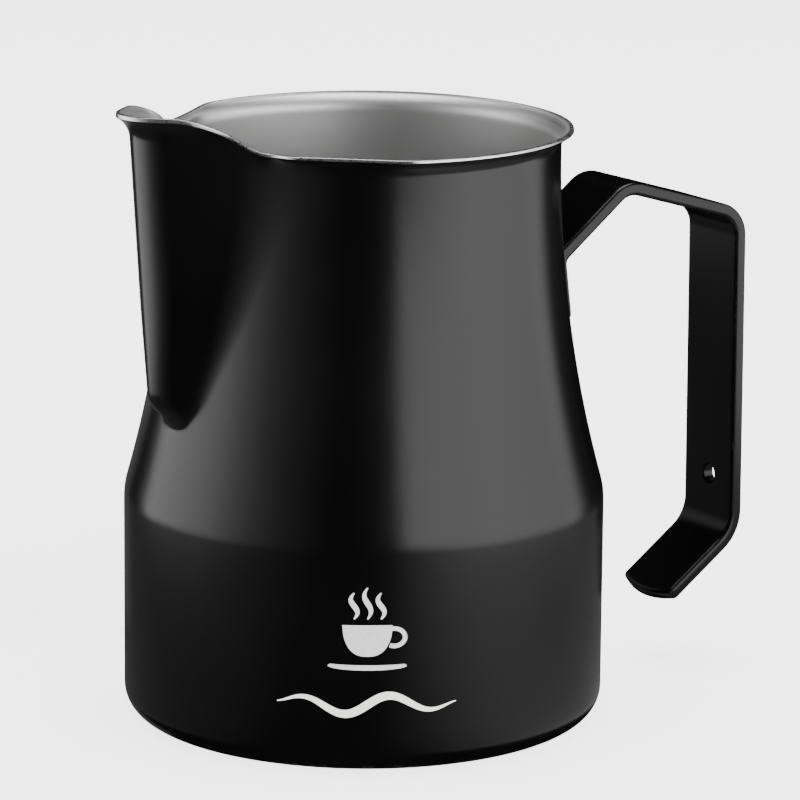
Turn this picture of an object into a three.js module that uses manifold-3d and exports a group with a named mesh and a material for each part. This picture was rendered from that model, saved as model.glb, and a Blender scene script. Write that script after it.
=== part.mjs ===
// Milk frothing pitcher, nominal 500 ml: a one-piece spun steel body with a pressed spout,
// and a bent flat strap for a handle, spot-welded to the neck and open at its lower end.
// Millimetres, +Z up. The origin is the centre of the flat base, on its underside.
// The spout points to -X and the handle to +X, and the part is symmetric about the XZ plane.

import * as THREE from 'three';
import { ParametricGeometry } from 'three/addons/geometries/ParametricGeometry.js';
import { mergeVertices } from 'three/addons/utils/BufferGeometryUtils.js';
import Module from 'manifold-3d';

const wasm = await Module();
wasm.setup();

const degrees = Math.PI / 180;

// ---- driving dimensions ----

// body of revolution, outer surface
const baseRadius = 43;
const baseCornerRadius = 5.3;
const beltHeight = 39.4; // top of the straight cylindrical belly
const shoulderRadius = 15; // convex arc above the belly
const waistRadius = 218; // long concave arc up to the neck
const neckRadius = 34.5;
const rimHeight = 106.8;
const wallThickness = 0.8;

// rolled-out lip
const lipReach = 2.2; // how far the lip stands out from the neck
const lipHeight = 3.2; // how much of the wall the lip takes, with its upright edge
const lipTurn = 55 * degrees; // how far the lip's arc turns outwards
const edgeHeight = 0.5; // of the lip's upright edge

// spout: a round-nosed ridge whose sides spread towards the rim
const spoutFootHeight = 57;
const spoutFootRadius = 38.78;
const spoutFootSlope = 1.62; // how fast the foot comes out of the belly
const spoutFrontHeight = 62;
const spoutFrontRadius = 43.9;
const spoutFrontSlope = 0.068;
const spoutNoseRadius = 6.6; // of the rounded front
const spoutNosePinch = 2.3; // less radius at the foot
const pinchEndHeight = 81.7;
const spoutSpread = 39.1 * degrees; // half angle between the sides at the rim
const spoutSpreadPower = 0.104;
const spoutElbow = 4.46; // softness of the corner between the foot and the front
const spoutBlend = 2.2; // softness of the crease along the body
const spoutRise = 5.95; // how far the spout's tip is above the rim
const riseStartHeight = 88;
const riseNear = 10 * degrees;
const riseFar = 29.2 * degrees;

// the lip dies out along the spout's sides, and comes back at its nose and on the neck
const noseLipReach = 2.4;
const noseLipEnd = [10 * degrees, 20 * degrees];
const neckLipStart = [28.5 * degrees, 38 * degrees];

// cheeks: beside the spout the rim is drawn in a little where the spout took its metal
const cheekDepth = 4.36;
const cheekTurn = 44.5 * degrees;
const cheekHalfWidth = 28.4 * degrees;

// handle strap, centre line of its side view
const strapWidth = 15.4;
const strapThickness = 2.4;
const strapEdgeRound = 0.5;
const tabBottomHeight = 68.9;
const tabElbowHeight = 80.2;
const strapShoulder = { x: 51.7, z: 92.0, bend: 5 };
const strapTopCorner = { x: 77.1, z: 84.5, bend: 5.5 };
const strapLowCorner = { x: 77.5, z: 24.4, bend: 8 };
const strapEnd = { x: 61.9, z: 12.8, bend: 0 };
const tabElbowBend = 2.6;
const strapEndRadius = 18; // the free end is cut to this arc
const hangingHoleRadius = 1.7;
const hangingHoleHeight = 34;

// spot welds between the tab and the neck
const weldGap = 0.3; // clearance kept between pieces that touch
const weldRadius = 1.6;
const weldThickness = 0.8;
const weldSpread = 3.6; // sideways distance from the middle of the tab
const weldRows = [71.6, 77.2];

// mesh fineness
const turnSteps = 76;
const squareStep = 26; // the step, counted from the spout, that lies square to it
const bendSteps = 5;

// ---- materials ----

const blackCoating = { color: 0x151617, roughness: 0.42, metalness: 0.25 };
const bareSteel = { color: 0xb9babb, roughness: 0.38, metalness: 1 };

function material(name, finish) {
  return new THREE.MeshStandardMaterial({ name, ...finish });
}

// ---- solid helpers ----

function toSolid(geometry) {
  const plain = geometry.clone();
  plain.deleteAttribute('normal');
  plain.deleteAttribute('uv');
  const merged = mergeVertices(plain, 1e-4);
  return new wasm.Manifold(new wasm.Mesh({
    numProp: 3,
    vertProperties: new Float32Array(merged.attributes.position.array),
    triVerts: new Uint32Array(merged.index.array),
  }));
}

function toGeometry(solid) {
  const mesh = solid.getMesh();
  const geometry = new THREE.BufferGeometry();
  geometry.setAttribute('position', new THREE.BufferAttribute(mesh.vertProperties, 3));
  geometry.setIndex(new THREE.BufferAttribute(mesh.triVerts, 1));
  geometry.computeVertexNormals();
  return geometry;
}

function smoothStep(low, high, value) {
  const t = Math.min(Math.max((value - low) / (high - low), 0), 1);
  return t * t * (3 - 2 * t);
}

// the larger of two lengths, with the corner between them softened over `blend`
function softMax(a, b, blend) {
  const h = Math.max(0, 1 - Math.abs(a - b) / blend);
  return Math.max(a, b) + h * h * blend / 4;
}

// ---- body ----

// Angle that the shoulder and the waist arcs both turn through, from the belly to the neck.
const shoulderTurn = Math.acos(
  1 - (baseRadius - neckRadius) / (shoulderRadius + waistRadius));
const waistTopHeight = beltHeight
  + (shoulderRadius + waistRadius) * Math.sin(shoulderTurn);

// Half outline of the outer surface, from the centre of the base to the rim.
function bodyOutline() {
  const path = new THREE.Path();
  path.moveTo(0, 0);
  path.lineTo(baseRadius - baseCornerRadius, 0);
  path.absarc(baseRadius - baseCornerRadius, baseCornerRadius, baseCornerRadius,
    -Math.PI / 2, 0, false);
  path.lineTo(baseRadius, beltHeight);
  path.absarc(baseRadius - shoulderRadius, beltHeight, shoulderRadius, 0, shoulderTurn, false);
  path.absarc(neckRadius + waistRadius, waistTopHeight, waistRadius,
    Math.PI + shoulderTurn, Math.PI, true);
  path.lineTo(neckRadius, rimHeight - edgeHeight);
  path.lineTo(neckRadius, rimHeight);
  return path;
}

const outline = bodyOutline();
const stepsPerStretch = [1, 3, 1, 2, 11, 5, 1]; // rows of the mesh on each stretch

// Places along the outline, from 0 at the centre of the base to 1 at the rim.
function outlineStations() {
  const stretches = outline.curves.map((curve) => curve.getLength());
  const total = stretches.reduce((sum, length) => sum + length, 0);
  const stations = [0];
  let before = 0;
  let stretch = 0;
  for (const curve of outline.curves) {
    const length = curve.getLength();
    if (length > 1e-6 && stretch < stepsPerStretch.length) {
      for (let k = 1; k <= stepsPerStretch[stretch]; k++) {
        stations.push((before + length * k / stepsPerStretch[stretch]) / total);
      }
      stretch += 1;
    }
    before += length;
  }
  return stations;
}

// Distance from the axis to the spout's outer surface, at a height and a turn from its nose.
function spoutRadius(height, turn) {
  const foot = spoutFootRadius + (height - spoutFootHeight) * spoutFootSlope;
  const straight = spoutFrontRadius + (height - spoutFrontHeight) * spoutFrontSlope;
  const front = -softMax(-foot, -straight, spoutElbow);
  const pinch = 1 - smoothStep(spoutFootHeight, pinchEndHeight, height);
  const nose = spoutNoseRadius - spoutNosePinch * pinch;
  const share = Math.max((height - spoutFootHeight) / (rimHeight - spoutFootHeight), 0);
  const spread = spoutSpread * Math.pow(share, spoutSpreadPower);
  const centre = front - nose;
  const noseEnd = Math.atan2(nose * Math.cos(spread), centre + nose * Math.sin(spread));
  if (turn < noseEnd) {
    const across = centre * Math.sin(turn);
    return centre * Math.cos(turn) + Math.sqrt(nose ** 2 - across ** 2);
  }
  const clearance = centre * Math.sin(spread) + nose;
  return clearance / Math.sin(Math.min(spread + turn, Math.PI / 2));
}

// How far the finished lip reaches out at a turn from the nose.
function lipReachAt(turn) {
  const nose = noseLipReach * (1 - smoothStep(...noseLipEnd, turn));
  return nose + lipReach * smoothStep(...neckLipStart, turn);
}

// How much of the lip's reach the wall has at a height: an arc up to the upright edge.
function lipShare(height) {
  const t = (height - (rimHeight - lipHeight)) / (lipHeight - edgeHeight);
  const across = Math.min(Math.max(t, 0), 1) * Math.sin(lipTurn);
  return (1 - Math.sqrt(1 - across * across)) / (1 - Math.cos(lipTurn));
}

function cheekInset(height, turn) {
  const across = Math.min(Math.abs(turn - cheekTurn) / cheekHalfWidth, 1);
  const bump = (1 - across ** 2) ** 2;
  return cheekDepth * bump * lipShare(height);
}

// How much of the spout's rise the wall has at a height: it is steepest at the rim.
function riseShare(height) {
  return 2 * smoothStep(riseStartHeight, 2 * rimHeight - riseStartHeight, height);
}

// Outer surface: radius and height at a place along the outline and a turn from the nose.
function outerSurface(place, signedTurn) {
  const turn = Math.abs(signedTurn);
  const flat = outline.getPoint(place);
  const lift = spoutRise * (1 - smoothStep(riseNear, riseFar, turn)) * riseShare(flat.y);
  const height = flat.y + lift;
  let radius = flat.x;
  if (flat.y > beltHeight) {
    const neck = flat.x - cheekInset(flat.y, turn);
    radius = softMax(neck, spoutRadius(height, turn), spoutBlend);
  }
  return { radius: radius + lipReachAt(turn) * lipShare(flat.y), height };
}

// A point of the wall: on the outer surface, or a wall's thickness inside it. The rim's edge
// is ground flat, so there the inner point is level with the outer one.
function wallPoint(place, turn, inset, target) {
  const small = 1e-4;
  const here = outerSurface(place, turn);
  const low = outerSurface(Math.max(place - small, 0), turn);
  const high = outerSurface(Math.min(place + small, 1), turn);
  const left = outerSurface(place, turn - small);
  const right = outerSurface(place, turn + small);
  const alongRadius = high.radius - low.radius;
  const alongHeight = high.height - low.height;
  const turnRadius = (right.radius - left.radius) / (2 * small);
  const turnHeight = (right.height - left.height) / (2 * small);
  const normal = new THREE.Vector3(
    alongHeight,
    (turnHeight * alongRadius - turnRadius * alongHeight) / Math.max(here.radius, 1),
    -alongRadius,
  ).normalize();
  if (place === 1) {
    const level = Math.hypot(normal.x, normal.y);
    normal.set(normal.x / level ** 2, normal.y / level ** 2, 0);
  }
  normal.multiplyScalar(-inset);
  const radial = here.radius + normal.x;
  const nose = Math.PI + turn; // the spout's nose is on -X
  target.set(
    radial * Math.cos(nose) - normal.y * Math.sin(nose),
    radial * Math.sin(nose) + normal.y * Math.cos(nose),
    here.height + normal.z,
  );
}

// Steps around the wall are closer together near the spout: at a share `side` of the way from
// the spout to the handle, the turn is that of an even step times crowding + rest * side^2.
const squareSide = squareStep / (turnSteps / 2);
const turnCrowding = (0.5 / squareSide - squareSide ** 2) / (1 - squareSide ** 2);

// One closed skin: out over the outside to the rim, and back down the inside. Only the outside
// has a row at the foot of the lip's edge.
function bodyGeometry() {
  const outer = outlineStations();
  const inner = outer.filter((_, i) => i !== outer.length - 2);
  const stations = [...outer, ...inner.reverse()];
  const rows = stations.length - 1;
  const surface = (u, v, target) => {
    const row = Math.round(v * rows);
    const inside = row >= outer.length;
    const place = stations[row];
    const side = u >= 1 ? -1 : 2 * u - 1;
    const turn = Math.PI * side * (turnCrowding + (1 - turnCrowding) * side * side);
    wallPoint(place, turn, inside ? wallThickness : 0, target);
    if (place === 0) {
      target.x = 0;
      target.y = 0;
    }
  };
  return new ParametricGeometry(surface, turnSteps, rows);
}

// ---- handle ----

// Radius of the neck's outer surface where the tab lies on it.
function waistAt(height) {
  const drop = waistTopHeight - height;
  return neckRadius + waistRadius - Math.sqrt(waistRadius ** 2 - drop ** 2);
}

const tabStandOff = weldGap + strapThickness / 2;
const tabBottom = { x: waistAt(tabBottomHeight) + tabStandOff, z: tabBottomHeight, bend: 0 };
const tabElbow = {
  x: waistAt(tabElbowHeight) + tabStandOff,
  z: tabElbowHeight,
  bend: tabElbowBend,
};
const strapCorners = [
  tabBottom, tabElbow, strapShoulder, strapTopCorner, strapLowCorner, strapEnd,
];

// Points and unit normals along a line with rounded corners.
function roundedLine(corners) {
  const points = [];
  const vector = (corner) => new THREE.Vector2(corner.x, corner.z);
  corners.forEach((corner, i) => {
    const here = vector(corner);
    if (i === 0 || i === corners.length - 1) {
      const from = i === 0 ? here : vector(corners[i - 1]);
      const to = i === 0 ? vector(corners[1]) : here;
      const along = to.clone().sub(from).normalize();
      points.push({ point: here, normal: new THREE.Vector2(-along.y, along.x) });
      return;
    }
    const before = here.clone().sub(vector(corners[i - 1])).normalize();
    const after = vector(corners[i + 1]).sub(here).normalize();
    const bendAngle = Math.atan2(before.cross(after), before.dot(after));
    const setBack = corner.bend * Math.tan(Math.abs(bendAngle) / 2);
    const start = here.clone().addScaledVector(before, -setBack);
    const sideways = new THREE.Vector2(-before.y, before.x);
    const centre = start.clone().addScaledVector(sideways, Math.sign(bendAngle) * corner.bend);
    for (let k = 0; k <= bendSteps; k++) {
      const turned = bendAngle * k / bendSteps;
      const point = start.clone().rotateAround(centre, turned);
      points.push({ point, normal: sideways.clone().rotateAround(new THREE.Vector2(), turned) });
    }
  });
  return points;
}

function strapBar() {
  const line = roundedLine(strapCorners);
  const half = strapThickness / 2;
  const left = line.map(({ point, normal }) => point.clone().addScaledVector(normal, half));
  const right = line.map(({ point, normal }) => point.clone().addScaledVector(normal, -half));
  const shape = new THREE.Shape([...right, ...left.reverse()]);
  const bar = new THREE.ExtrudeGeometry(shape, {
    depth: strapWidth - 2 * strapEdgeRound,
    bevelSize: strapEdgeRound,
    bevelThickness: strapEdgeRound,
    bevelOffset: -strapEdgeRound,
    bevelSegments: 2,
  });
  bar.translate(0, 0, strapEdgeRound - strapWidth / 2);
  bar.rotateX(Math.PI / 2);
  return toSolid(bar);
}

// What is cut off the square end of the bar to leave it round in plan.
function endCutter() {
  const along = new THREE.Vector2(strapEnd.x - strapLowCorner.x, strapEnd.z - strapLowCorner.z);
  const tilt = Math.atan2(along.y, along.x);
  const reach = strapWidth;
  const edge = strapWidth / 2 + 1;
  const open = Math.asin(edge / strapEndRadius);
  const shape = new THREE.Shape();
  shape.moveTo(reach, -edge);
  shape.lineTo(reach, edge);
  shape.lineTo(strapEndRadius * (Math.cos(open) - 1), edge);
  shape.absarc(-strapEndRadius, 0, strapEndRadius, open, -open, true);
  const cutter = new THREE.ExtrudeGeometry(shape, {
    depth: 6 * strapThickness, curveSegments: 12, bevelEnabled: false,
  });
  cutter.translate(0, 0, -3 * strapThickness);
  cutter.rotateY(-tilt);
  cutter.translate(strapEnd.x, 0, strapEnd.z);
  return toSolid(cutter);
}

function hangingHole() {
  const drill = new THREE.CylinderGeometry(
    hangingHoleRadius, hangingHoleRadius, 6 * strapThickness, 24);
  drill.rotateZ(Math.PI / 2);
  drill.translate(strapLowCorner.x, 0, hangingHoleHeight);
  return toSolid(drill);
}

// ---- spot welds ----

// Frame of one spot weld: on the wall, pointing straight out of it.
function weldPlace(height, sideways) {
  const lean = Math.asin((waistTopHeight - height) / waistRadius);
  const around = Math.asin(sideways / waistAt(height));
  const outwards = new THREE.Vector3(
    Math.cos(lean) * Math.cos(around), Math.cos(lean) * Math.sin(around), Math.sin(lean));
  const onWall = new THREE.Vector3(
    waistAt(height) * Math.cos(around), sideways, height);
  return { outwards, onWall };
}

const weldPlaces = weldRows.flatMap((height) => [
  weldPlace(height, -weldSpread),
  weldPlace(height, weldSpread),
]);

function disc(radius, from, to, place) {
  const geometry = new THREE.CylinderGeometry(radius, radius, to - from, 16);
  geometry.translate(0, (from + to) / 2, 0);
  const turn = new THREE.Quaternion().setFromUnitVectors(
    new THREE.Vector3(0, 1, 0), place.outwards);
  geometry.applyQuaternion(turn);
  geometry.translate(place.onWall.x, place.onWall.y, place.onWall.z);
  return geometry;
}

function strapGeometry() {
  let solid = strapBar().subtract(endCutter()).subtract(hangingHole());
  for (const place of weldPlaces) {
    const pocket = disc(weldRadius + weldGap, -weldGap, weldThickness + 2 * weldGap, place);
    solid = solid.subtract(toSolid(pocket));
  }
  return toGeometry(solid);
}

// ---- assembly ----

const group = new THREE.Group();

function addMesh(name, geometry, finish) {
  const mesh = new THREE.Mesh(geometry, material(name, finish));
  mesh.name = name;
  group.add(mesh);
}

addMesh('pitcher_body', bodyGeometry(), blackCoating);
addMesh('handle_strap', strapGeometry(), blackCoating);
weldPlaces.forEach((place, i) => {
  const nugget = disc(weldRadius, weldGap, weldGap + weldThickness, place);
  addMesh(`weld_nugget_${i + 1}`, nugget, bareSteel);
});

export default group;
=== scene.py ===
"""Looks of the milk frothing pitcher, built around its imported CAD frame. Lengths in metres.

The spout points to -X and the handle to +X. The body of revolution, the spout and the lip are
worked out by the same formulas as the CAD body, at a finer pitch.
"""
import math

import bmesh
import bpy
import numpy as np
from mathutils import Matrix, Vector


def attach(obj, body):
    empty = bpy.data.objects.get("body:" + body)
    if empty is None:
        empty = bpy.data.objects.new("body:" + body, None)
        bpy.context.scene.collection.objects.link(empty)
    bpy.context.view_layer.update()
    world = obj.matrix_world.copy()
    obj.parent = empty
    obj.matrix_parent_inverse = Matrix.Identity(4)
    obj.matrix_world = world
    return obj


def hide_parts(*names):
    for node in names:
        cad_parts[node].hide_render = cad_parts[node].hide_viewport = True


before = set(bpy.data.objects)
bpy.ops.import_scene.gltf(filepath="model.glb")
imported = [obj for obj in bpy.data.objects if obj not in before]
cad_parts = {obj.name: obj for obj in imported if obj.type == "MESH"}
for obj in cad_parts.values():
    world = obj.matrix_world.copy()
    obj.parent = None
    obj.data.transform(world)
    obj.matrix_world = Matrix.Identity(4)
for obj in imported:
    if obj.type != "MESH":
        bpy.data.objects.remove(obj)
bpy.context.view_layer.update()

MM = 0.001
DEG = math.pi / 180

# ---- driving dimensions of the body, in millimetres ----

BASE_RADIUS = 43.0
BASE_CORNER = 5.3
BELT_HEIGHT = 39.4
SHOULDER_RADIUS = 15.0
WAIST_RADIUS = 218.0
NECK_RADIUS = 34.5
RIM_HEIGHT = 106.8
WALL = 0.8
COAT = 0.1          # thickness of the black coating
COAT_CLEARANCE = 0.01

LIP_REACH = 2.2
LIP_HEIGHT = 3.2
LIP_TURN = 55 * DEG
EDGE_HEIGHT = 0.5        # the rim's edge stands upright over this height, in bare steel

SPOUT_FOOT_HEIGHT = 57.0
SPOUT_FOOT_RADIUS = 38.78
SPOUT_FOOT_SLOPE = 1.62
SPOUT_FRONT_HEIGHT = 62.0
SPOUT_FRONT_RADIUS = 43.9
SPOUT_FRONT_SLOPE = 0.068
SPOUT_NOSE_RADIUS = 6.6
SPOUT_NOSE_PINCH = 2.3   # the nose's radius is less by this much at the foot
PINCH_END_HEIGHT = 81.7
SPOUT_SPREAD = 39.1 * DEG
SPOUT_SPREAD_POWER = 0.104
SPOUT_ELBOW = 4.46
SPOUT_BLEND = 2.2
SPOUT_RISE = 5.95
RISE_START_HEIGHT = 88.0
RISE_TURNS = (10 * DEG, 29.2 * DEG)
NOSE_LIP_REACH = 2.4
NOSE_LIP_END = (10 * DEG, 20 * DEG)
NECK_LIP_START = (28.5 * DEG, 38 * DEG)
CHEEK_DEPTH = 4.36
CHEEK_TURN = 44.5 * DEG
CHEEK_HALF_WIDTH = 28.4 * DEG

# ---- driving dimensions of the handle strap, in millimetres ----

STRAP_WIDTH = 15.4
STRAP_THICKNESS = 2.4
STRAP_EDGE = 0.75        # radius of its rounded long edges
STRAP_GAP = 0.3          # between the neck and the tab's near face
STRAP_STAND_OFF = STRAP_GAP + STRAP_THICKNESS / 2
TAB_HEIGHTS = (68.9, 80.2)
STRAP_CORNERS = [        # x, z and bend radius of the centre line, after the tab
    (51.7, 92.0, 5.0),
    (77.1, 84.5, 5.5),
    (77.5, 24.4, 8.0),
    (61.9, 12.8, 0.0),
]
TAB_BEND = 2.6
STRAP_END_RADIUS = 18.0
STRAP_END_LENGTH = 14.0  # the rounding of the lower end builds up over this length
HOLE_RADIUS = 1.7
HOLE_HEIGHT = 34.0
HOLE_CHAMFER = 0.25
WELD_RADIUS = 1.6
WELD_HEIGHTS = (71.6, 77.2)
WELD_SIDEWAYS = 3.6
WELD_CLEARANCE = 0.3     # between a nugget and its pocket in the strap
WELD_POCKET_TOP = 1.4    # the pocket's end, from the neck's outside

# ---- fineness ----

# steps along the base, its corner, the belly, the shoulder, the waist and the neck
OUTLINE_STEPS = (10, 12, 12, 10, 84, 20)
EDGE_ROWS = 2            # rows of the outline's last stretch, the rim's upright edge
TURN_STEPS = 384
TURN_CROWDING = 0.45     # pitch at the spout's nose as a share of the mean pitch
SLOPE_STEP = 1e-3        # step for finding slopes, in millimetres or radians
EDGE_INSET = 0.04        # the bare edge starts this far inside the coating's surface
EDGE_ROUND = 0.14        # and comes in by this much where it rounds over to the top
EDGE_STEPS = 6
LEVEL_EDGE_SHARES = (0.4, 0.85)          # places of the rows on the rim's level top
RIM_ROWS = 30            # rows under the rim that are evenly spaced
RIM_MARGIN = 0.12        # none of them but the edge itself is nearer to the rim than this
BODY_CREASE = 35 * DEG   # edges turning by more than this stay sharp
STRAP_CREASE = 30 * DEG
STRAP_PITCH = 1.2
STRAP_BEND_PITCH = 4 * DEG
STRAP_CAP_STEPS = 5      # steps over the rounded edge of the strap's two ends
SECTION_CORNER_STEPS = 6
SECTION_WIDTH_STEPS = 12
SECTION_LEAST_RADIUS = 0.02
HOLE_STEPS = 64
WELD_STEPS = 32

# ---- printed mark, in millimetres on the belly's surface ----

MARK_TURN = -121.2 * DEG
MARK_HEIGHT = 26.2
MARK_SIZE = 7.75         # about half of the cup mark's height
INK = 0.04               # how far the ink stands out of the coating

# the cup, in shares of MARK_SIZE from the mark's centre
BRIM = 0.12
BOWL_HALF_WIDTH = 0.56
BOWL_DEPTH = 0.72
BOWL_POWER = 2.6         # 2 would make the bowl half an ellipse
BOWL_LEAST = 0.0004      # keeps the bowl's two sides apart at its ends
EAR_CENTRE = (0.60, -0.16)
EAR_RADII = (0.24, 0.20)
EAR_TURN = 2.0           # radians, each way from level
EAR_STROKE = 0.10
SAUCER_HALF_WIDTH = 0.86
SAUCER_HEIGHT = -0.80
SAUCER_SAG = 0.06
SAUCER_STROKE = 0.12
SAUCER_TIP = 0.5         # width of a stroke's ends as a share of its widest
STEAM_FOOT = 0.26
STEAM_TOPS = ((-0.30, 0.86), (0.0, 0.98), (0.30, 0.86))
STEAM_SWAY = 0.075
STEAM_STROKE = 0.12
STEAM_TIP = 0.25
BOWL_STEPS, EAR_STEPS, SAUCER_STEPS, STEAM_STEPS, FLOURISH_STEPS = 49, 29, 33, 33, 121

# the flourish, in millimetres from the mark's centre
FLOURISH_HALF_LENGTH = 15.8
FLOURISH_HEIGHT = -13.3
FLOURISH_WAVE = 1.7
FLOURISH_STROKE = 1.5
FLOURISH_TIP = 0.12


# ---------------------------------------------------------------- small helpers

def smooth_step(low, high, value):
    """Goes smoothly from 0 at low to 1 at high."""
    t = np.clip((value - low) / (high - low), 0, 1)
    return t * t * (3 - 2 * t)


def soft_max(a, b, blend):
    """The greater of two values, rounded off where they are nearer than the blend."""
    h = np.maximum(0, 1 - np.abs(a - b) / blend)
    return np.maximum(a, b) + h * h * blend / 4


def new_object(name, points, faces, materials, smooth=True, face_material=None):
    """A mesh object from points in millimetres."""
    mesh = bpy.data.meshes.new(name)
    mesh.from_pydata([tuple(p) for p in np.asarray(points, float) * MM], [], faces)
    for material in materials:
        mesh.materials.append(material)
    if face_material is not None:
        mesh.polygons.foreach_set("material_index", face_material)
    mesh.polygons.foreach_set("use_smooth", [smooth] * len(mesh.polygons))
    mesh.update()
    obj = bpy.data.objects.new(name, mesh)
    bpy.context.scene.collection.objects.link(obj)
    return obj


def face_outwards(obj):
    """Makes a closed mesh's faces point out."""
    bm = bmesh.new()
    bm.from_mesh(obj.data)
    bmesh.ops.recalc_face_normals(bm, faces=bm.faces)
    bm.to_mesh(obj.data)
    bm.free()


# ---------------------------------------------------------------- materials

# grains, clouds, waves and rings are scales of noise, in waves per metre
NOISE_RANGE = (0.3, 0.7)                 # most of a noise's values lie in this range
WEAR_GRAIN = 700
WEAR_RANGE = (0.5, 0.64)

# axis, distance from the object's middle and half width of a worn line, in metres
BASE_WEAR = ("Z", 0.0008, 0.0012)        # the base's rounded corner
STRAP_WEAR = ("Y", 0.0074, 0.0003)       # the strap's long edges

# finish of the body's and the strap's coating
BODY_SHINE = 0.5
STRAP_SHINE = 0.38
COAT_GRAIN = 2600
COAT_CLOUDS = 28
COAT_WAVES = 220
COAT_COLOURS = ((0.0007, 0.0007, 0.0008), (0.0013, 0.0013, 0.0014))
WORN_COLOUR = (0.005, 0.005, 0.0052)
COAT_ROUGHNESS = (0.22, 0.26)
WORN_ROUGHNESS = 0.05                    # added where the coating is worn

STEEL_RINGS = (60, 60, 5200)             # along x, y and z
STEEL_CLOUDS = 35
STEEL_COLOURS = ((0.60, 0.60, 0.60), (0.68, 0.68, 0.675))
STEEL_ROUGHNESS = (0.40, 0.50)

GROUND_GRAIN = 900
GROUND_COLOURS = ((0.66, 0.66, 0.66), (0.74, 0.74, 0.74))
GROUND_ROUGHNESS = (0.24, 0.34)

INK_GRAIN = 1800
INK_ROUGHNESS = (0.45, 0.6)
SILVER = ((0.50, 0.50, 0.50), (0.60, 0.60, 0.60))
CREAM = ((0.78, 0.76, 0.72), (0.88, 0.87, 0.83))


class Nodes:
    """A short way to wire a material's nodes."""

    def __init__(self, name):
        self.material = bpy.data.materials.new(name)
        self.material.use_nodes = True
        self.tree = self.material.node_tree
        self.shader = self.tree.nodes["Principled BSDF"]
        self.coordinates = self.add("ShaderNodeTexCoord").outputs["Object"]

    def add(self, kind, **values):
        node = self.tree.nodes.new(kind)
        for key, value in values.items():
            if hasattr(node, key):
                setattr(node, key, value)
            else:
                node.inputs[key.replace("_", " ").title()].default_value = value
        return node

    def link(self, a, b):
        self.tree.links.new(a, b)

    def stretched(self, scale):
        mapping = self.add("ShaderNodeMapping")
        mapping.inputs["Scale"].default_value = scale
        self.link(self.coordinates, mapping.inputs["Vector"])
        return mapping.outputs["Vector"]

    def noise(self, scale, detail=3.0, roughness=0.5, vector=None):
        node = self.add("ShaderNodeTexNoise", scale=scale, detail=detail, roughness=roughness)
        self.link(vector or self.coordinates, node.inputs["Vector"])
        return node.outputs["Fac"]

    def remap(self, value, low, high, to_low, to_high):
        """A value mapped in a straight line from one range to another, and kept within it."""
        node = self.add("ShaderNodeMapRange")
        node.inputs["From Min"].default_value = low
        node.inputs["From Max"].default_value = high
        node.inputs["To Min"].default_value = to_low
        node.inputs["To Max"].default_value = to_high
        self.link(value, node.inputs["Value"])
        return node.outputs["Result"]

    def spread(self, noise, low, high):
        """A noise spread over the range from low to high."""
        return self.remap(noise, *NOISE_RANGE, low, high)

    def mix(self, share, first, second):
        node = self.add("ShaderNodeMix", data_type="RGBA")
        self.link(share, node.inputs[0])
        for socket, colour in ((node.inputs[6], first), (node.inputs[7], second)):
            if isinstance(colour, tuple):
                socket.default_value = (*colour, 1)
            else:
                self.link(colour, socket)
        return node.outputs[2]

    def maths(self, operation, a, b=0.0):
        node = self.add("ShaderNodeMath", operation=operation)
        for socket, value in zip(node.inputs, (a, b)):
            if hasattr(value, "is_output"):
                self.link(value, socket)
            else:
                socket.default_value = value
        return node.outputs["Value"]

    def wear(self, axis, place, width):
        """Scattered scuffs along the line where a coordinate, taken without sign, has a value."""
        parts = self.add("ShaderNodeSeparateXYZ")
        self.link(self.coordinates, parts.inputs["Vector"])
        off = self.maths("SUBTRACT", self.maths("ABSOLUTE", parts.outputs[axis]), place)
        near = self.remap(self.maths("ABSOLUTE", off), 0, width, 1, 0)
        scuffs = self.remap(self.noise(WEAR_GRAIN, detail=4.0), *WEAR_RANGE, 0, 1)
        return self.maths("MULTIPLY", near, scuffs)

    def bump(self, height, strength, distance, after=None):
        node = self.add("ShaderNodeBump")
        node.inputs["Strength"].default_value = strength
        node.inputs["Distance"].default_value = distance
        self.link(height, node.inputs["Height"])
        if after is not None:
            self.link(after, node.inputs["Normal"])
        return node.outputs["Normal"]

    def set(self, **values):
        for key, value in values.items():
            socket = self.shader.inputs[key.replace("_", " ")]
            if hasattr(value, "is_output"):
                self.link(value, socket)
            else:
                socket.default_value = value


def black_coating(name, shine, worn_line):
    """Black satin coating, a little worn along one line."""
    n = Nodes(name)
    worn = n.wear(*worn_line)
    fine = n.noise(COAT_GRAIN, detail=2.0)
    cloud = n.noise(COAT_CLOUDS, detail=4.0)
    colour = n.mix(n.spread(cloud, 0, 1), *COAT_COLOURS)
    colour = n.mix(worn, colour, WORN_COLOUR)
    satin = n.spread(cloud, *COAT_ROUGHNESS)
    roughness = n.maths("ADD", satin, n.maths("MULTIPLY", worn, WORN_ROUGHNESS))
    slow = n.bump(n.noise(COAT_WAVES, detail=2.0), strength=0.05, distance=0.0004)
    normal = n.bump(fine, strength=0.10, distance=0.00006, after=slow)
    n.set(Base_Color=colour, Roughness=roughness, Normal=normal)
    n.set(IOR=1.45, Specular_IOR_Level=shine)
    return n.material


def bare_steel():
    """Satin steel with fine rings round the jug's axis."""
    n = Nodes("bare_steel")
    rings = n.noise(1.0, detail=3.0, vector=n.stretched(STEEL_RINGS))
    cloud = n.noise(STEEL_CLOUDS, detail=4.0)
    colour = n.mix(n.spread(cloud, 0, 1), *STEEL_COLOURS)
    n.set(Base_Color=colour, Metallic=1.0, Roughness=n.spread(rings, *STEEL_ROUGHNESS))
    n.set(Normal=n.bump(rings, strength=0.12, distance=0.00005))
    return n.material


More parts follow.
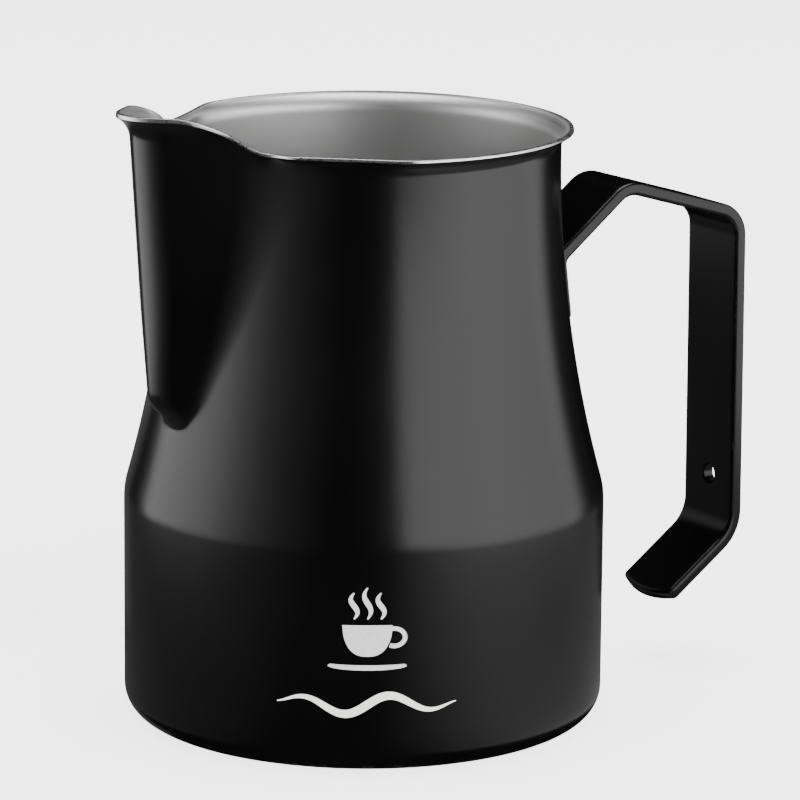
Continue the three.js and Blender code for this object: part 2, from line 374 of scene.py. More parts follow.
def ground_steel():
    """The brighter steel of the rim's ground edge."""
    n = Nodes("ground_steel")
    grain = n.noise(GROUND_GRAIN, detail=2.0)
    colour = n.mix(n.spread(grain, 0, 1), *GROUND_COLOURS)
    n.set(Base_Color=colour, Metallic=1.0, Roughness=n.spread(grain, *GROUND_ROUGHNESS))
    return n.material


def ink(name, colours):
    n = Nodes(name)
    speckle = n.noise(INK_GRAIN, detail=3.0)
    colour = n.mix(n.spread(speckle, 0, 1), *colours)
    n.set(Base_Color=colour, Roughness=n.spread(speckle, *INK_ROUGHNESS))
    n.set(Normal=n.bump(speckle, strength=0.1, distance=0.00002))
    return n.material


# ---------------------------------------------------------------- body

SHOULDER_TURN = math.acos(
    1 - (BASE_RADIUS - NECK_RADIUS) / (SHOULDER_RADIUS + WAIST_RADIUS))
WAIST_TOP = BELT_HEIGHT + (SHOULDER_RADIUS + WAIST_RADIUS) * math.sin(SHOULDER_TURN)


def outline_rows():
    """Radius, height and unit tangent of the outline's rows, from the base's edge to the rim."""
    rows = []

    def arc(centre_r, centre_z, radius, start, end, steps):
        way = 1 if end > start else -1
        for k in range(1, steps + 1):
            a = start + (end - start) * k / steps
            rows.append((centre_r + radius * math.cos(a), centre_z + radius * math.sin(a),
                         -math.sin(a) * way, math.cos(a) * way))

    def line(r0, z0, r1, z1, steps):
        length = math.hypot(r1 - r0, z1 - z0)
        for k in range(1, steps + 1):
            t = k / steps
            rows.append((r0 + (r1 - r0) * t, z0 + (z1 - z0) * t,
                         (r1 - r0) / length, (z1 - z0) / length))

    base, corner, belly, shoulder, waist, neck = OUTLINE_STEPS
    inner = BASE_RADIUS - BASE_CORNER
    line(0, 0, inner, 0, base)
    arc(inner, BASE_CORNER, BASE_CORNER, -math.pi / 2, 0, corner)
    line(BASE_RADIUS, BASE_CORNER, BASE_RADIUS, BELT_HEIGHT, belly)
    arc(BASE_RADIUS - SHOULDER_RADIUS, BELT_HEIGHT, SHOULDER_RADIUS, 0, SHOULDER_TURN,
        shoulder)
    arc(NECK_RADIUS + WAIST_RADIUS, WAIST_TOP, WAIST_RADIUS,
        math.pi + SHOULDER_TURN, math.pi, waist)
    line(NECK_RADIUS, WAIST_TOP, NECK_RADIUS, RIM_HEIGHT - EDGE_HEIGHT, neck)
    line(NECK_RADIUS, RIM_HEIGHT - EDGE_HEIGHT, NECK_RADIUS, RIM_HEIGHT, EDGE_ROWS)
    return np.array(rows)


def spout_radius(height, turn):
    """Radius of the spout's ridge: a round nose with two flat sides, cut off by its foot."""
    foot = SPOUT_FOOT_RADIUS + (height - SPOUT_FOOT_HEIGHT) * SPOUT_FOOT_SLOPE
    straight = SPOUT_FRONT_RADIUS + (height - SPOUT_FRONT_HEIGHT) * SPOUT_FRONT_SLOPE
    front = -soft_max(-foot, -straight, SPOUT_ELBOW)
    nose = SPOUT_NOSE_RADIUS - SPOUT_NOSE_PINCH * (
        1 - smooth_step(SPOUT_FOOT_HEIGHT, PINCH_END_HEIGHT, height))
    share = np.maximum((height - SPOUT_FOOT_HEIGHT) / (RIM_HEIGHT - SPOUT_FOOT_HEIGHT), 0)
    spread = SPOUT_SPREAD * share ** SPOUT_SPREAD_POWER
    centre = front - nose
    nose_end = np.arctan2(nose * np.cos(spread), centre + nose * np.sin(spread))
    across = centre * np.sin(turn)
    rounded = centre * np.cos(turn) + np.sqrt(np.maximum(nose ** 2 - across ** 2, 0))
    clearance = centre * np.sin(spread) + nose
    opening = np.maximum(np.minimum(spread + turn, math.pi / 2), 1e-6)
    return np.where(turn < nose_end, rounded, clearance / np.sin(opening))


def lip_reach_at(turn):
    """How far the lip stands out: at the spout's nose, not beside it, and then all round."""
    nose = NOSE_LIP_REACH * (1 - smooth_step(*NOSE_LIP_END, turn))
    return nose + LIP_REACH * smooth_step(*NECK_LIP_START, turn)


def lip_share(height):
    """Share of the lip's reach: an arc, which is all there at the foot of the upright edge."""
    t = (height - (RIM_HEIGHT - LIP_HEIGHT)) / (LIP_HEIGHT - EDGE_HEIGHT)
    across = np.clip(t, 0, 1) * math.sin(LIP_TURN)
    return (1 - np.sqrt(1 - across ** 2)) / (1 - math.cos(LIP_TURN))


def cheek_inset(height, turn):
    """How far the lip is drawn in beside the spout."""
    across = np.minimum(np.abs(turn - CHEEK_TURN) / CHEEK_HALF_WIDTH, 1)
    return CHEEK_DEPTH * (1 - across ** 2) ** 2 * lip_share(height)


def outer_surface(flat_radius, flat_height, turn):
    """Radius and height of the outside, from the outline and the turn from the spout's nose."""
    turn = np.abs(turn)
    lift = SPOUT_RISE * (1 - smooth_step(*RISE_TURNS, turn)) * 2 * smooth_step(
        RISE_START_HEIGHT, 2 * RIM_HEIGHT - RISE_START_HEIGHT, flat_height)
    height = flat_height + lift
    neck = flat_radius - cheek_inset(flat_height, turn)
    spouted = soft_max(neck, spout_radius(height, turn), SPOUT_BLEND)
    radius = np.where(flat_height > BELT_HEIGHT, spouted, flat_radius)
    return radius + lip_reach_at(turn) * lip_share(flat_height), height


def wall_turns():
    """Turns of the wall's columns from the spout's nose, closer together near the spout."""
    side = np.linspace(-1, 1, TURN_STEPS, endpoint=False)
    return math.pi * side * (TURN_CROWDING + (1 - TURN_CROWDING) * side ** 2)


def wall_grid(inset):
    """Points of the wall at a depth under its outer surface, as rows x turns x 3. The rim is
    ground flat, so there the depth is measured level."""
    rows = outline_rows()
    turns = wall_turns()[None, :]
    flat_r, flat_z, tan_r, tan_z = (rows[:, i:i + 1] for i in range(4))
    small = SLOPE_STEP
    here_r, here_z = outer_surface(flat_r, flat_z, turns)
    low_r, low_z = outer_surface(flat_r - small * tan_r, flat_z - small * tan_z, turns)
    high_r, high_z = outer_surface(flat_r + small * tan_r, flat_z + small * tan_z, turns)
    left_r, left_z = outer_surface(flat_r, flat_z, turns - small)
    right_r, right_z = outer_surface(flat_r, flat_z, turns + small)
    # the last row has nothing above it
    high_r[-1], high_z[-1] = here_r[-1], here_z[-1]
    along_r, along_z = high_r - low_r, high_z - low_z
    turn_r = (right_r - left_r) / (2 * small)
    turn_z = (right_z - left_z) / (2 * small)
    normal = np.stack([
        along_z,
        (turn_z * along_r - turn_r * along_z) / np.maximum(here_r, 1),
        -along_r,
    ])
    normal /= np.linalg.norm(normal, axis=0)
    level = np.hypot(normal[0, -1], normal[1, -1])
    normal[0, -1] /= level ** 2
    normal[1, -1] /= level ** 2
    normal[2, -1] = 0
    radial = here_r - inset * normal[0]
    sideways = -inset * normal[1]
    nose = math.pi + turns
    return np.stack([
        radial * np.cos(nose) - sideways * np.sin(nose),
        radial * np.sin(nose) + sideways * np.cos(nose),
        here_z - inset * normal[2],
    ], axis=-1)


def keep_under_rim(grid):
    """Respaces the top rows of the wall, so that none stands above or overhangs the rim."""
    first = len(grid) - RIM_ROWS
    for j in range(grid.shape[1]):
        column = grid[first:, j]
        reach = np.hypot(column[:, 0], column[:, 1])
        room = np.maximum(reach - reach[-1], RIM_MARGIN)
        under = column[column[:, 2] < column[-1, 2] - room]
        column = np.vstack([under, column[-1:]])
        lengths = np.linalg.norm(np.diff(column, axis=0), axis=1)
        along = np.concatenate([[0], np.cumsum(lengths)])
        places = np.linspace(0, along[-1], RIM_ROWS)
        for i in range(3):
            grid[first:, j, i] = np.interp(places, along, column[:, i])
    return grid


def close_skin(name, outer, edge, inner, materials):
    """A closed skin: out over the outer rows, over the edge rows, and back in on the inner.
    The edge rows have the last of the materials, and the others the first."""
    grid = np.concatenate([outer, edge, inner[::-1]])
    rows, turns = grid.shape[:2]
    points = [*grid.reshape(-1, 3)]
    first_pole, last_pole = len(points), len(points) + 1
    points.append((0, 0, float(outer[0, :, 2].mean())))
    points.append((0, 0, float(inner[0, :, 2].mean())))
    faces, kinds = [], []
    edge_rows = range(len(outer) - 1, len(outer) + len(edge))
    for i in range(rows - 1):
        kind = len(materials) - 1 if i in edge_rows else 0
        for j in range(turns):
            k = (j + 1) % turns
            faces.append((i * turns + j, i * turns + k, (i + 1) * turns + k, (i + 1) * turns + j))
            kinds.append(kind)
    for j in range(turns):
        k = (j + 1) % turns
        faces.append((first_pole, k, j))
        faces.append((last_pole, (rows - 1) * turns + j, (rows - 1) * turns + k))
        kinds += [0, 0]
    obj = new_object(name, points, faces, materials, face_material=kinds)
    face_outwards(obj)
    obj.data.set_sharp_from_angle(angle=BODY_CREASE)
    return obj


def make_body(coat_finish, steel_finish, rim_finish):
    """The coating ends at the foot of the rim's edge, where the steel's rounded edge begins."""
    outside = wall_grid(0)[:-EDGE_ROWS]
    under_coat = wall_grid(COAT)[:-EDGE_ROWS]
    coat = close_skin("black_coat", outside, outside[:0], under_coat, [coat_finish])
    steel_outer = wall_grid(COAT + COAT_CLEARANCE)[:-EDGE_ROWS]
    steel_inner = keep_under_rim(wall_grid(WALL))
    edge_wall = wall_grid(EDGE_INSET)
    foot, rim = edge_wall[-EDGE_ROWS - 1], edge_wall[-1]
    foot[:, 2] = np.maximum(outside[-1, :, 2], under_coat[-1, :, 2]) + COAT_CLEARANCE
    rise = (rim - foot)[:, 2:]
    level_in = steel_inner[-1] - rim
    level_in /= np.linalg.norm(level_in, axis=1)[:, None]
    edge = []
    for k in range(EDGE_STEPS + 1):
        a = math.pi / 2 * k / EDGE_STEPS
        ring = foot + level_in * EDGE_ROUND * (1 - math.cos(a))
        ring[:, 2:] += rise * math.sin(a)
        edge.append(ring)
    for share in LEVEL_EDGE_SHARES:
        edge.append(edge[EDGE_STEPS] * (1 - share) + steel_inner[-1] * share)
    steel = close_skin("steel_wall", steel_outer, np.stack(edge), steel_inner,
                       [steel_finish, rim_finish])
    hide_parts("pitcher_body")
    return [coat, steel]


# ---------------------------------------------------------------- handle strap

def neck_radius_at(height):
    """Radius of the outside at a height on the waist, away from the spout."""
    drop = WAIST_TOP - height
    return NECK_RADIUS + WAIST_RADIUS - math.sqrt(WAIST_RADIUS ** 2 - drop ** 2)


def strap_corners():
    """Corners of the strap's centre line, from the foot of the tab to the free end."""
    low, elbow = TAB_HEIGHTS
    return [
        (neck_radius_at(low) + STRAP_STAND_OFF, low, 0.0),
        (neck_radius_at(elbow) + STRAP_STAND_OFF, elbow, TAB_BEND),
        *STRAP_CORNERS,
    ]


def rounded_line(corners, pitch, bend_pitch):
    """Points and left-hand normals along a line with rounded corners, at a steady pitch."""
    stations = []

    def straight(a, b):
        way = (b - a).normalized()
        normal = Vector((-way.y, way.x))
        steps = max(1, round((b - a).length / pitch))
        for k in range(steps + 1):
            stations.append((a.lerp(b, k / steps), normal))

    at = [Vector(c[:2]) for c in corners]
    start = at[0]
    for i in range(1, len(corners) - 1):
        before = (at[i] - at[i - 1]).normalized()
        after = (at[i + 1] - at[i]).normalized()
        angle = math.atan2(before.cross(after), before.dot(after))
        bend = corners[i][2]
        set_back = bend * math.tan(abs(angle) / 2)
        end = at[i] - before * set_back
        straight(start, end)
        sideways = Vector((-before.y, before.x))
        centre = end + sideways * math.copysign(bend, angle)
        steps = max(2, round(abs(angle) / bend_pitch))
        for k in range(1, steps):
            turn = Matrix.Rotation(angle * k / steps, 2)
            stations.append((centre + turn @ (end - centre), turn @ sideways))
        start = at[i] + after * set_back
    straight(start, at[-1])
    return stations


def strap_section(inset):
    """Points (across, thick) of the strap's rounded section, all the way round."""
    half_width, half_thick = STRAP_WIDTH / 2 - inset, STRAP_THICKNESS / 2 - inset
    radius = max(STRAP_EDGE - inset, SECTION_LEAST_RADIUS)
    points = []
    for corner_x, corner_y, start in (
            (half_width - radius, half_thick - radius, 0),
            (-half_width + radius, half_thick - radius, 90),
            (-half_width + radius, -half_thick + radius, 180),
            (half_width - radius, -half_thick + radius, 270)):
        for k in range(SECTION_CORNER_STEPS + 1):
            a = (start + 90 * k / SECTION_CORNER_STEPS) * DEG
            points.append((corner_x + radius * math.cos(a), corner_y + radius * math.sin(a)))
        if start in (0, 180):
            sign = -1 if start == 0 else 1
            last = points[-1]
            span = 2 * (half_width - radius)
            for k in range(1, SECTION_WIDTH_STEPS):
                points.append((last[0] + sign * span * k / SECTION_WIDTH_STEPS, last[1]))
    return points


def make_strap(finish):
    """The bent strap, with its hanging hole and the pockets for the weld nuggets."""
    stations = rounded_line(strap_corners(), STRAP_PITCH, STRAP_BEND_PITCH)
    distances = [0.0]
    for (a, _), (b, _) in zip(stations, stations[1:]):
        distances.append(distances[-1] + (b - a).length)
    total = distances[-1]
    last_straight = total - STRAP_END_LENGTH
    cap_turns = [90 * k / STRAP_CAP_STEPS * DEG for k in range(1, STRAP_CAP_STEPS + 1)]
    cap = [(STRAP_EDGE * (1 - math.cos(a)), STRAP_EDGE * math.sin(a)) for a in cap_turns]
    rings = []

    def ring(point, normal, inset, extra, rounding):
        way = Vector((normal.y, -normal.x))
        row = []
        for across, thick in strap_section(inset):
            sag = STRAP_END_RADIUS - math.sqrt(STRAP_END_RADIUS ** 2 - across ** 2)
            place = point + normal * thick + way * (extra - sag * rounding)
            row.append((place.x, across, place.y))
        rings.append(row)

    first_point, first_normal = stations[0]
    for inset, along in reversed(cap):
        ring(first_point, first_normal, inset, STRAP_EDGE - along, 0)
    for (point, normal), distance in zip(stations, distances):
        if STRAP_EDGE < distance < total - STRAP_EDGE:
            rounding = max(0.0, (distance - last_straight) / (total - last_straight))
            ring(point, normal, 0, 0, rounding)
    last_point, last_normal = stations[-1]
    ring(last_point, last_normal, 0, -STRAP_EDGE, 1)
    for inset, along in cap:
        ring(last_point, last_normal, inset, along - STRAP_EDGE, 1)
    grid = np.array(rings)
    rows, columns = grid.shape[:2]
    faces = []
    for i in range(rows - 1):
        for j in range(columns):
            k = (j + 1) % columns
            faces.append((i * columns + j, (i + 1) * columns + j,
                          (i + 1) * columns + k, i * columns + k))
    faces.append(tuple(range(columns)))
    faces.append(tuple(range((rows - 1) * columns, rows * columns))[::-1])
    strap = new_object("handle_strap_bar", grid.reshape(-1, 3), faces, [finish])
    face_outwards(strap)
    cut(strap, [hole_cutter(), *weld_cutters()])
    strap.data.polygons.foreach_set("use_smooth", [True] * len(strap.data.polygons))
    strap.data.set_sharp_from_angle(angle=STRAP_CREASE)
    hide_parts("handle_strap")
    return strap


def turned_solid(name, profile, place, direction, steps):
    """A solid turned about an axis: profile is (along, radius) from one end to the other."""
    axis = Vector(direction).normalized()
    frame_turn = axis.to_track_quat("Z", "X")
    points, faces = [], []
    for along, radius in profile:
        for k in range(steps):
            a = 2 * math.pi * k / steps
            local = Vector((radius * math.cos(a), radius * math.sin(a), along))
            points.append(Vector(place) + frame_turn @ local)
    for i in range(len(profile) - 1):
        for k in range(steps):
            m = (k + 1) % steps
            faces.append((i * steps + k, i * steps + m, (i + 1) * steps + m, (i + 1) * steps + k))
    faces.append(tuple(range(steps))[::-1])
    faces.append(tuple(range((len(profile) - 1) * steps, len(profile) * steps)))
    obj = new_object(name, points, faces, [])
    face_outwards(obj)
    return obj


def hole_cutter():
    """Cuts the chamfered hanging hole, and goes on at the chamfer's slope past both faces."""
    half = STRAP_THICKNESS / 2
    wide = HOLE_RADIUS + HOLE_CHAMFER
    past = 1
    profile = [(-half - past, wide + past), (-half, wide), (-half + HOLE_CHAMFER, HOLE_RADIUS),
               (half - HOLE_CHAMFER, HOLE_RADIUS), (half, wide), (half + past, wide + past)]
    x = STRAP_CORNERS[2][0]
    return turned_solid("hole_cutter", profile, (x, 0, HOLE_HEIGHT), (1, 0, 0), HOLE_STEPS)


def weld_cutters():
    """Cut the pockets for the weld nuggets, each square to the neck's wall."""
    radius = WELD_RADIUS + WELD_CLEARANCE
    profile = [(-WELD_CLEARANCE, radius), (WELD_POCKET_TOP, radius)]
    cutters = []
    for height in WELD_HEIGHTS:
        for sideways in (-WELD_SIDEWAYS, WELD_SIDEWAYS):
            lean = math.asin((WAIST_TOP - height) / WAIST_RADIUS)
            wall = neck_radius_at(height)
            around = math.asin(sideways / wall)
            out = (math.cos(lean) * math.cos(around), math.cos(lean) * math.sin(around),
                   math.sin(lean))
            place = (wall * math.cos(around), sideways, height)
            cutters.append(turned_solid("weld_cutter", profile, place, out, WELD_STEPS))
    return cutters


def cut(obj, cutters):
    """Takes the cutters out of an object, and removes them."""
    for cutter in cutters:
        modifier = obj.modifiers.new("cut", "BOOLEAN")
        modifier.operation = "DIFFERENCE"
        modifier.solver = "EXACT"
        modifier.object = cutter
    depsgraph = bpy.context.evaluated_depsgraph_get()
    mesh = bpy.data.meshes.new_from_object(obj.evaluated_get(depsgraph))
    obj.modifiers.clear()
    obj.data = mesh
    for cutter in cutters:
        bpy.data.objects.remove(cutter)


# ---------------------------------------------------------------- printed mark

def on_belly(u, v, depth):
    """A point u mm round the belly and v mm up from the mark's centre."""
    a = MARK_TURN + u / BASE_RADIUS
    radius = BASE_RADIUS + depth
    return (radius * math.cos(a), radius * math.sin(a), MARK_HEIGHT + v)


def ribbon(line, widths):
    """Points of both sides of a stroke along a line of (u, v)."""
    line = np.asarray(line, float)
    way = np.vstack([line[1:], line[-1:]]) - np.vstack([line[:1], line[:-1]])
    way /= np.linalg.norm(way, axis=1)[:, None]
    side = np.stack([-way[:, 1], way[:, 0]], -1) * np.asarray(widths, float)[:, None] / 2
    return line + side, line - side


def add_print(points, faces, left, right):
    """Adds one thin solid stroke on the belly to a point and face list, from its two sides."""
    start = len(points)
    for l, r in zip(left, right):
        points += [on_belly(*l, INK), on_belly(*r, INK), on_belly(*r, -INK), on_belly(*l, -INK)]
    end = len(points) - 4
    for a in range(start, end, 4):
        for k in range(4):
            m = (k + 1) % 4
            faces.append((a + k, a + 4 + k, a + 4 + m, a + m))
    faces.append((start, start + 1, start + 2, start + 3))
    faces.append((end + 3, end + 2, end + 1, end))


def tapered(count, widest, tip):
    """Widths of a stroke, which is widest half way; tip is its ends' share of the widest."""
    t = np.linspace(0, 1, count)
    return widest * (tip + (1 - tip) * np.sin(math.pi * t))


def make_print(name, strokes, finish):
    """A printed piece from the two sides of each of its strokes."""
    points, faces = [], []
    for left, right in strokes:
        add_print(points, faces, left, right)
    mark = new_object(name, points, faces, [finish], smooth=False)
    face_outwards(mark)
    return mark


def make_cup_mark(finish):
    """A plain coffee cup on a saucer with three wisps of steam."""
    s = MARK_SIZE
    # bowl: filled between a level brim and its round underside
    u = np.linspace(-1, 1, BOWL_STEPS)
    bowl_u = u * BOWL_HALF_WIDTH * s
    brim = np.full_like(u, BRIM * s)
    under = BRIM * s - BOWL_DEPTH * s * np.sqrt(
        np.maximum(1 - np.abs(u) ** BOWL_POWER, BOWL_LEAST))
    strokes = [(np.stack([bowl_u, brim], -1), np.stack([bowl_u, under], -1))]
    # handle of the cup
    ear = [(EAR_CENTRE[0] * s + EAR_RADII[0] * s * math.cos(a),
            EAR_CENTRE[1] * s + EAR_RADII[1] * s * math.sin(a))
           for a in np.linspace(-EAR_TURN, EAR_TURN, EAR_STEPS)]
    strokes.append(ribbon(ear, [EAR_STROKE * s] * EAR_STEPS))
    # saucer
    saucer = [(SAUCER_HALF_WIDTH * s * math.sin(a),
               SAUCER_HEIGHT * s - SAUCER_SAG * s * math.cos(a))
              for a in np.linspace(-math.pi / 2, math.pi / 2, SAUCER_STEPS)]
    strokes.append(ribbon(saucer, tapered(SAUCER_STEPS, SAUCER_STROKE * s, SAUCER_TIP)))
    # steam
    sway = STEAM_SWAY * s * np.sin(np.linspace(0, 2 * math.pi, STEAM_STEPS))
    for shift, top in STEAM_TOPS:
        height = np.linspace(STEAM_FOOT, top, STEAM_STEPS) * s
        wisp = np.stack([shift * s + sway, height], -1)
        strokes.append(ribbon(wisp, tapered(STEAM_STEPS, STEAM_STROKE * s, STEAM_TIP)))
    return make_print("printed_cup_mark", strokes, finish)


def make_flourish(finish):
    """A plain wavy flourish under the mark."""
    t = np.linspace(-1, 1, FLOURISH_STEPS)
    u = FLOURISH_HALF_LENGTH * t
    v = FLOURISH_HEIGHT + FLOURISH_WAVE * np.sin(2 * math.pi * t) * (1 - t ** 2) ** 0.5
    stroke = ribbon(np.stack([u, v], -1), tapered(FLOURISH_STEPS, FLOURISH_STROKE, FLOURISH_TIP))
    return make_print("printed_flourish", [stroke], finish)


# ---------------------------------------------------------------- camera, floor and light

VIEW_TURN = 32.25 * DEG          # from the camera's vertical plane to the spout-handle plane
CAMERA_DISTANCE = 0.8928
CAMERA_HEIGHT = 0.2626
CAMERA_PITCH = 0.22634
CAMERA_YAW = 0.0071
CAMERA_ROLL = 0.00856
CAMERA_LENS = 230.81
CAMERA_SENSOR = 36
CAMERA_CLIP = (0.01, 50)

# A glow is a list of (turn, level), with turns in degrees from the camera, positive to the
# right. Places are (to the right, away, up) as the camera sees them, and strengths multiply
# the levels.
SWEEP_STEPS = 61
PANEL_RADIUS = 1.2
PANEL_HEIGHTS = (-0.45, -0.15, 0.0, 0.95)
PANEL_STRENGTH = 3.2
RIGHT_GLOW = [(18, 1.0), (65, 1.0), (80, 0.88), (92, 0.74), (103, 0.58), (120, 0.46), (128, 0.0)]
RIGHT_LOW_GLOW = [(8, 0.0), (18, 0.1), (30, 0.4), (42, 0.76), (56, 1.0), *RIGHT_GLOW[1:]]
LEFT_GLOW = [(-128, 0.0), (-123, 0.72), (-92, 0.84), (-80, 0.75), (-67, 0.45), (-55, 0.24),
             (-44, 0.13), (-34, 0.07), (-24, 0.04), (-16, 0.0)]
CARD_HEIGHT = -0.001
CARD_RADII = (0.046, 0.235)
RIGHT_CARD_STRENGTH = 0.72
RIGHT_CARD_GLOW = [(2, 0.0), (10, 0.06), (19, 0.28), (27, 0.55), (35, 0.8), (45, 1.0), (55, 1.0),
                   (65, 0.9), (75, 0.75), (87, 0.57), (102, 0.45), (122, 0.29), (150, 0.2)]
LEFT_CARD_STRENGTH = 0.14
LEFT_CARD_GLOW = [(-150, 0.5), (-109, 0.85), (-60, 1.0), (-45, 0.8), (-25, 0.05), (-2, 0.0)]
FLAG_WIDTH = 0.11
FLAG_PLACE = (-0.05, 0.096)
FLAG_TURN = -115 * DEG
FLAG_STRENGTH = 1.0
# the flag's glow at heights in metres
FLAG_GLOW = [(-0.06, 0.15), (0.045, 0.15), (0.06, 0.6), (0.085, 0.6), (0.095, 0.0), (0.16, 0.0)]
SOFTBOX_PLACE = (0.0, 0.2, 1.5)
SOFTBOX_SIZE = 1.2
SOFTBOX_POWER = 25
FLOOR_REACH = 3
FLOOR_COLOUR = (0.9, 0.9, 0.9)
FLOOR_TINT = 0.985       # its darkest patches, as a share of its colour
FLOOR_GRAIN = 40
FLOOR_GLOW = 3.2         # brings the floor near to white
WORLD_GLOW = (0.004, 0.004, 0.004, 1)
BACKDROP = (4.2, 4.2, 4.2, 1)            # the world as the camera sees it


def seen(x, y, z=0.0):
    """A point given as the camera sees it: x to the right, y away, z up, about the base."""
    return Matrix.Rotation(-VIEW_TURN, 3, "Z") @ Vector((x, y, z))


def make_camera():
    data = bpy.data.cameras.new("camera")
    data.lens = CAMERA_LENS
    data.sensor_width = CAMERA_SENSOR
    data.clip_start, data.clip_end = CAMERA_CLIP
    camera = bpy.data.objects.new("camera", data)
    bpy.context.scene.collection.objects.link(camera)
    ahead = seen(math.sin(CAMERA_YAW) * math.cos(CAMERA_PITCH),
                 math.cos(CAMERA_YAW) * math.cos(CAMERA_PITCH), -math.sin(CAMERA_PITCH))
    right = seen(math.cos(CAMERA_YAW), -math.sin(CAMERA_YAW))
    up = right.cross(ahead)
    basis = Matrix((right, up, -ahead)).transposed().to_4x4()
    camera.matrix_world = (Matrix.Translation(seen(0, -CAMERA_DISTANCE, CAMERA_HEIGHT)) @ basis
                           @ Matrix.Rotation(CAMERA_ROLL, 4, "Z"))
    bpy.context.scene.camera = camera


def only_seen_by(obj, **rays):
    """Leaves an object visible to the named kinds of rays only."""
    for kind in ("camera", "diffuse", "glossy", "transmission", "volume_scatter", "shadow"):
        setattr(obj, "visible_" + kind, rays.get(kind, False))


def stage_mesh(name, points, faces, material):
    """A piece of the stage, from points in metres."""
    obj = new_object(name, np.array(points) / MM, faces, [material], smooth=False)
    return obj


def glowing(name, strength):
    """A material that glows by its mesh's glow level, times a strength."""
    material = bpy.data.materials.new(name)
    material.use_nodes = True
    tree = material.node_tree
    tree.nodes.clear()
    glow = tree.nodes.new("ShaderNodeAttribute")
    glow.attribute_name = "glow"
    emission = tree.nodes.new("ShaderNodeEmission")
    scale = tree.nodes.new("ShaderNodeMath")
    scale.operation = "MULTIPLY"
    scale.inputs[1].default_value = strength
    output = tree.nodes.new("ShaderNodeOutputMaterial")
    tree.links.new(glow.outputs["Fac"], scale.inputs[0])
    tree.links.new(scale.outputs[0], emission.inputs["Strength"])
    tree.links.new(emission.outputs[0], output.inputs["Surface"])
    return material


def glow_sheet(name, columns, levels, strength, **rays):
    """A glowing sheet, from columns of points and of glow levels, all of the same length."""
    count = len(columns[0])
    points = [point for column in columns for point in column]
    faces = [(k, k + 1, k + count + 1, k + count)
             for k in range(len(points) - count) if (k + 1) % count]
    sheet = stage_mesh(name, points, faces, glowing(name, strength))
    attribute = sheet.data.attributes.new("glow", "FLOAT", "POINT")
    attribute.data.foreach_set("value", [level for column in levels for level in column])
    only_seen_by(sheet, **rays)


def sweep(glow):
    """Turns from the camera, in radians and positive to the right, and the glow at each."""
    turns, levels = zip(*glow)
    at = np.linspace(turns[0], turns[-1], SWEEP_STEPS)
    return at * DEG, np.interp(at, turns, levels)


def sweep_panel(name, glow, low_glow):
    """A tall softbox bent round the object, with a glow of its own on its lower part."""
    turns, levels = sweep(glow)
    low_levels = np.interp(turns / DEG, *zip(*low_glow))
    columns = [[seen(PANEL_RADIUS * math.sin(a), -PANEL_RADIUS * math.cos(a), height)
                for height in PANEL_HEIGHTS] for a in turns]
    levels = [(low, low, high, high) for low, high in zip(low_levels, levels)]
    glow_sheet(name, columns, levels, PANEL_STRENGTH, diffuse=True, glossy=True)


def floor_card(name, glow, strength):
    """A dim sheet just under the floor, which shows only in the object's reflections."""
    turns, levels = sweep(glow)
    columns = [[seen(radius * math.sin(a), -radius * math.cos(a), CARD_HEIGHT)
                for radius in CARD_RADII] for a in turns]
    glow_sheet(name, columns, [(level, level) for level in levels], strength,
               glossy=True, shadow=True)


def handle_flag():
    """A dim card behind the jug, which keeps the left panel's glare off the strap's inside."""
    x, y = FLAG_PLACE
    along = (math.cos(FLAG_TURN) * FLAG_WIDTH / 2, math.sin(FLAG_TURN) * FLAG_WIDTH / 2)
    heights, levels = zip(*FLAG_GLOW)
    columns = [[seen(x + way * along[0], y + way * along[1], height) for height in heights]
               for way in (-1, 1)]
    glow_sheet("handle_flag", columns, [levels, levels], FLAG_STRENGTH,
               glossy=True, shadow=True)


def top_softbox():
    """A square softbox high over the object, pointed at the middle of its base."""
    data = bpy.data.lights.new("top_softbox", "AREA")
    data.shape = "RECTANGLE"
    data.size = data.size_y = SOFTBOX_SIZE
    data.energy = SOFTBOX_POWER
    light = bpy.data.objects.new("top_softbox", data)
    bpy.context.scene.collection.objects.link(light)
    place = seen(*SOFTBOX_PLACE)
    light.location = place
    light.rotation_mode = "QUATERNION"
    light.rotation_quaternion = (seen(0, 0) - place).to_track_quat("-Z", "Y")
    light.visible_camera = False


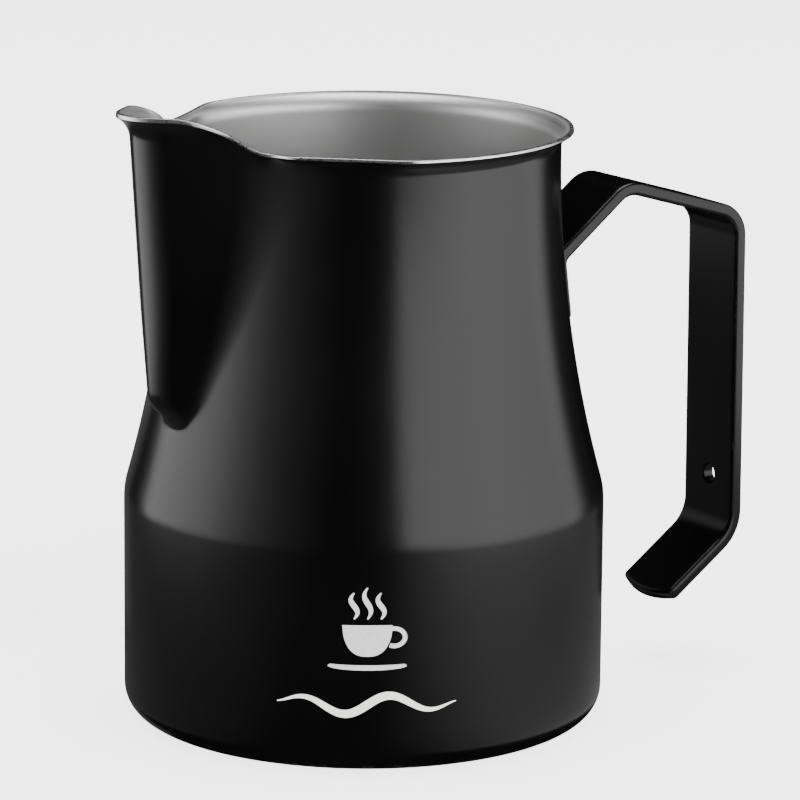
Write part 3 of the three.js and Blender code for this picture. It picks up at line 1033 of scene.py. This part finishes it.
def pale_floor():
    n = Nodes("pale_floor")
    grain = n.noise(FLOOR_GRAIN, detail=3.0)
    tint = tuple(c * FLOOR_TINT for c in FLOOR_COLOUR)
    n.set(Base_Color=n.mix(grain, tint, FLOOR_COLOUR), Roughness=0.6)
    n.set(Specular_IOR_Level=0.0)
    n.set(Emission_Color=(1, 1, 1, 1), Emission_Strength=FLOOR_GLOW)
    return n.material


def make_world():
    """A backdrop that is bright to the camera and nearly dark to everything else."""
    world = bpy.data.worlds.new("studio")
    world.use_nodes = True
    tree = world.node_tree
    background = tree.nodes["Background"]
    path = tree.nodes.new("ShaderNodeLightPath")
    shade = tree.nodes.new("ShaderNodeMix")
    shade.data_type = "RGBA"
    shade.inputs[6].default_value = WORLD_GLOW
    shade.inputs[7].default_value = BACKDROP
    tree.links.new(path.outputs["Is Camera Ray"], shade.inputs[0])
    tree.links.new(shade.outputs[2], background.inputs["Color"])
    bpy.context.scene.world = world


def make_stage():
    x = FLOOR_REACH
    floor = stage_mesh("floor", [seen(-x, -x), seen(x, -x), seen(x, x), seen(-x, x)],
                       [(0, 1, 2, 3)], pale_floor())
    only_seen_by(floor, camera=True, diffuse=True)
    sweep_panel("right_panel", RIGHT_GLOW, RIGHT_LOW_GLOW)
    sweep_panel("left_panel", LEFT_GLOW, LEFT_GLOW)
    floor_card("right_card", RIGHT_CARD_GLOW, RIGHT_CARD_STRENGTH)
    floor_card("left_card", LEFT_CARD_GLOW, LEFT_CARD_STRENGTH)
    top_softbox()
    handle_flag()
    make_world()


# ---------------------------------------------------------------- assembly

coat_finish = black_coating("black_coating", BODY_SHINE, BASE_WEAR)
strap_finish = black_coating("black_coating_strap", STRAP_SHINE, STRAP_WEAR)
steel_finish = bare_steel()
rim_finish = ground_steel()
silver_ink = ink("silver_ink", SILVER)
cream_ink = ink("cream_ink", CREAM)

pieces = make_body(coat_finish, steel_finish, rim_finish)
pieces.append(make_strap(strap_finish))
pieces.append(make_cup_mark(silver_ink))
pieces.append(make_flourish(cream_ink))
for piece in pieces:
    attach(piece, "root")
for name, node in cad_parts.items():
    if name.startswith("weld_nugget"):
        node.data.materials.clear()
        node.data.materials.append(steel_finish)
make_camera()
make_stage()
